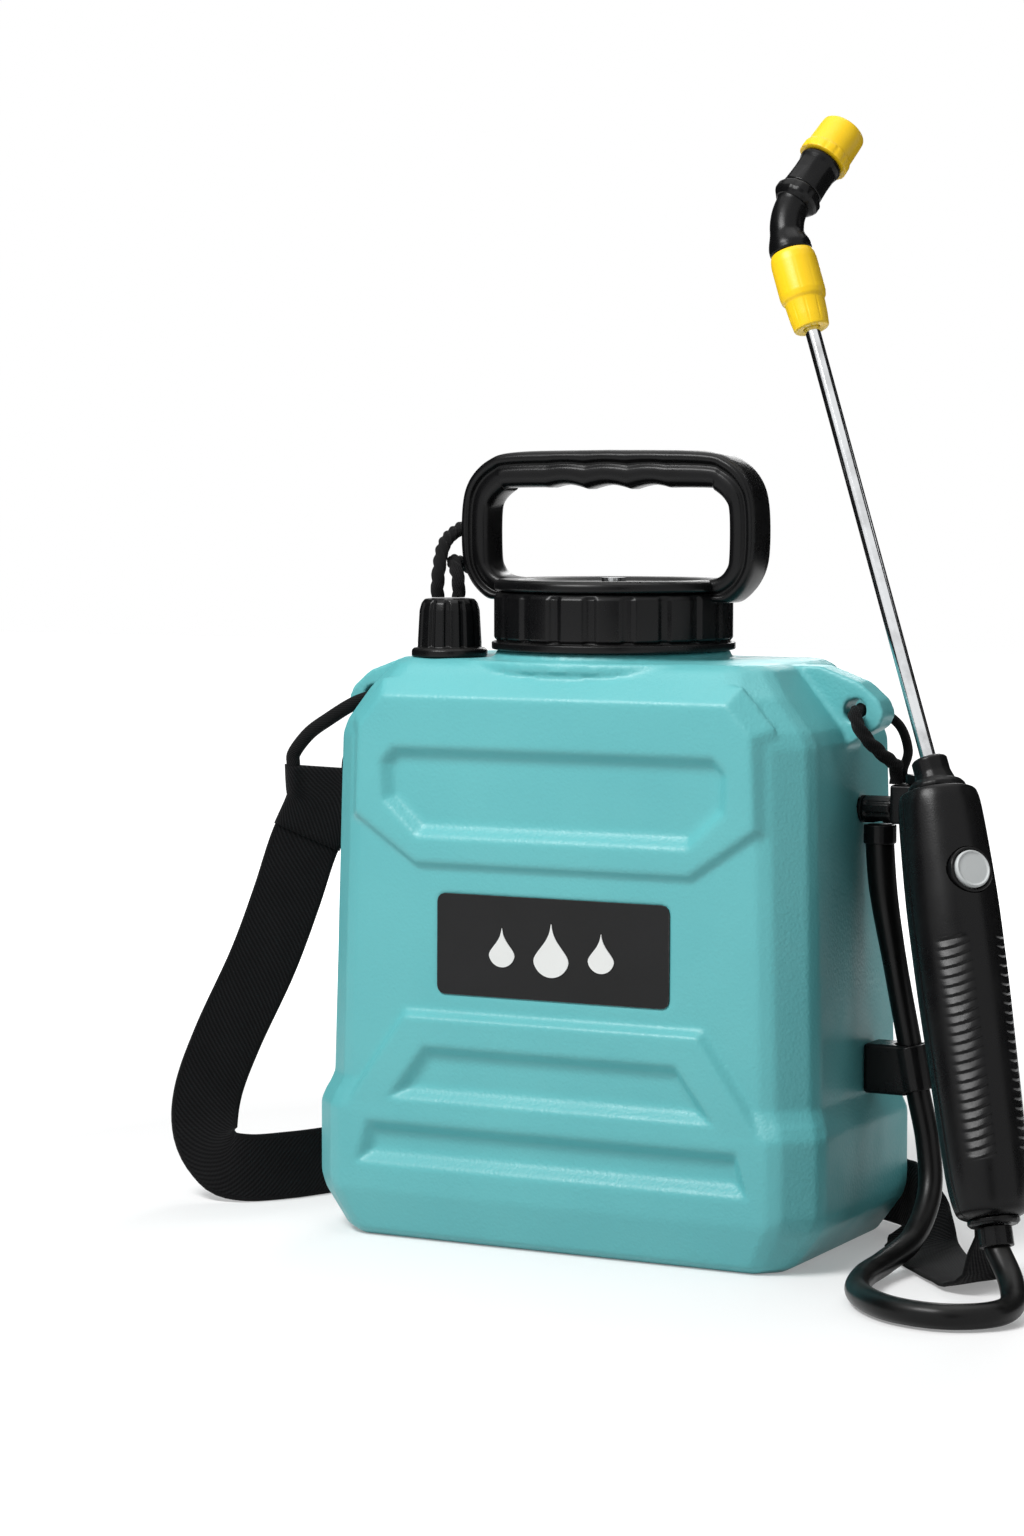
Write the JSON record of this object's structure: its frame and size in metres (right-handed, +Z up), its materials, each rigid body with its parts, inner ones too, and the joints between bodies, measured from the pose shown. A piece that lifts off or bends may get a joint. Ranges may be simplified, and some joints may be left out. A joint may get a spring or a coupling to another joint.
{
  "type": "pump sprayer",
  "caption": "Garden sprayer: pressed teal tank with a plunger pump in a ribbed collar, relief cap, shoulder strap, hose, and a hanging wand with push button and angled yellow nozzle.",
  "frame": {"origin": "middle of the tank's flat underside, on the floor", "axes": "+Z up along the pump, -Y out of the labelled front, +X towards the wand"},
  "size_m": [0.4892, 0.2312, 0.5482],
  "materials": {
    "teal_polyethylene": "moulded teal polyethylene, soft sheen",
    "black_plastic": "black moulded plastic, satin",
    "label_charcoal": "smooth dark charcoal film",
    "black_rubber": "black rubber, matte",
    "black_webbing": "woven black webbing",
    "black_cord": "black braided cord",
    "yellow_plastic": "yellow moulded plastic",
    "polished_steel": "polished stainless steel",
    "grey_button": "light grey plastic",
    "natural_plastic": "uncoloured plastic"
  },
  "bodies": {
    "tank": {"tank_shell": "teal_polyethylene", "label_plate": "label_charcoal", "outlet_elbow": "black_plastic", "outlet_washer": "black_rubber", "outlet_locknut": "natural_plastic", "pickup_tube": "natural_plastic", "strainer": "black_plastic", "hang_bracket": "black_plastic", "hose": "black_rubber", "hose_ferrule_top": "black_plastic", "hose_clip": "black_plastic", "left_strap": "black_webbing", "rear_strap": "black_webbing", "right_strap": "black_webbing", "strap_loop": "black_cord", "ear_cord": "black_cord", "hook_cord": "black_cord", "strap_screw": "polished_steel"},
    "pump": {"pump_gasket": "black_rubber", "pump_barrel": "natural_plastic", "check_valve": "black_rubber", "rod_guide": "black_plastic"},
    "collar": {"screw_collar": "black_plastic"},
    "plunger": {"pump_handle": "black_plastic", "piston_rod": "polished_steel", "piston_head": "black_plastic", "piston_cup": "black_rubber", "handle_screw": "polished_steel"},
    "relief": {"relief_cap": "black_plastic", "relief_gasket": "black_rubber", "cap_cord": "black_cord"},
    "wand": {"grip_front_shell": "black_plastic", "grip_rear_shell": "black_plastic", "grip_screw_upper": "polished_steel", "grip_screw_lower": "polished_steel", "grip_nose": "black_plastic", "button_ring": "black_plastic", "valve_body": "natural_plastic", "valve_seal": "black_rubber", "button_spring": "polished_steel", "feed_pipe": "natural_plastic", "delivery_pipe": "natural_plastic", "hose_barb": "black_plastic", "hose_ferrule_grip": "black_plastic", "wand_tube": "polished_steel"},
    "button": {"spray_button": "grey_button"},
    "valve": {"valve_pin": "polished_steel"},
    "nut": {"tube_nut": "yellow_plastic", "tube_seal": "black_rubber"},
    "head": {"spray_elbow": "black_plastic", "nozzle_body": "black_plastic", "nozzle_seal": "black_rubber", "swirl_insert": "natural_plastic"},
    "cap": {"nozzle_cap": "yellow_plastic"}
  },
  "joints": [
    {"name": "pump_rise", "type": "slide", "parent": "tank", "child": "pump", "axis": [0, 0, 1], "range_m": [0, 0.0101]},
    {"name": "collar_turn", "type": "hinge", "parent": "pump", "child": "collar", "pos_m": [0, 0, 0.3], "axis": [0, 0, 1], "range_deg": [0, 450]},
    {"name": "pump_stroke", "type": "slide", "parent": "pump", "child": "plunger", "axis": [0, 0, 1], "range_m": [0, 0.145]},
    {"name": "relief_turn", "type": "hinge", "parent": "tank", "child": "relief", "pos_m": [-0.075, -0.03, 0.29], "axis": [0, 0, 1], "range_deg": [0, 90]},
    {"name": "wand_lift", "type": "slide", "parent": "tank", "child": "wand", "axis": [0, 0, 1], "range_m": [0, 0.05], "deforming": ["hose"]},
    {"name": "button_press", "type": "slide", "parent": "wand", "child": "button", "axis": [-0.7338, 0.5802, -0.3533], "range_m": [0, 0.003], "stiffness_N_per_m": 400, "springref_m": -0.005, "deforming": ["button_spring"]},
    {"name": "valve_press", "type": "slide", "parent": "wand", "child": "valve", "axis": [-0.7338, 0.5802, -0.3533], "range_m": [0, 0.003]},
    {"name": "nut_turn", "type": "hinge", "parent": "wand", "child": "nut", "pos_m": [0.08061, 0.02969, 0.47971], "axis": [-0.3502, 0.1802, 0.9192], "range_deg": [0, 360]},
    {"name": "head_swivel", "type": "hinge", "parent": "wand", "child": "head", "pos_m": [0.08061, 0.02969, 0.47971], "axis": [-0.3502, 0.1802, 0.9192], "range_deg": [-180, 180]},
    {"name": "nozzle_turn", "type": "hinge", "parent": "head", "child": "cap", "pos_m": [0.08536, 0.05607, 0.52511], "axis": [0.2863, 0.5995, 0.7475], "range_deg": [0, 270]}
  ],
  "couplings": [
    {"joint": "pump_rise", "follows": "collar_turn", "m_per_rad": 0.0012732},
    {"joint": "valve_press", "follows": "button_press", "ratio": 1}
  ]
}
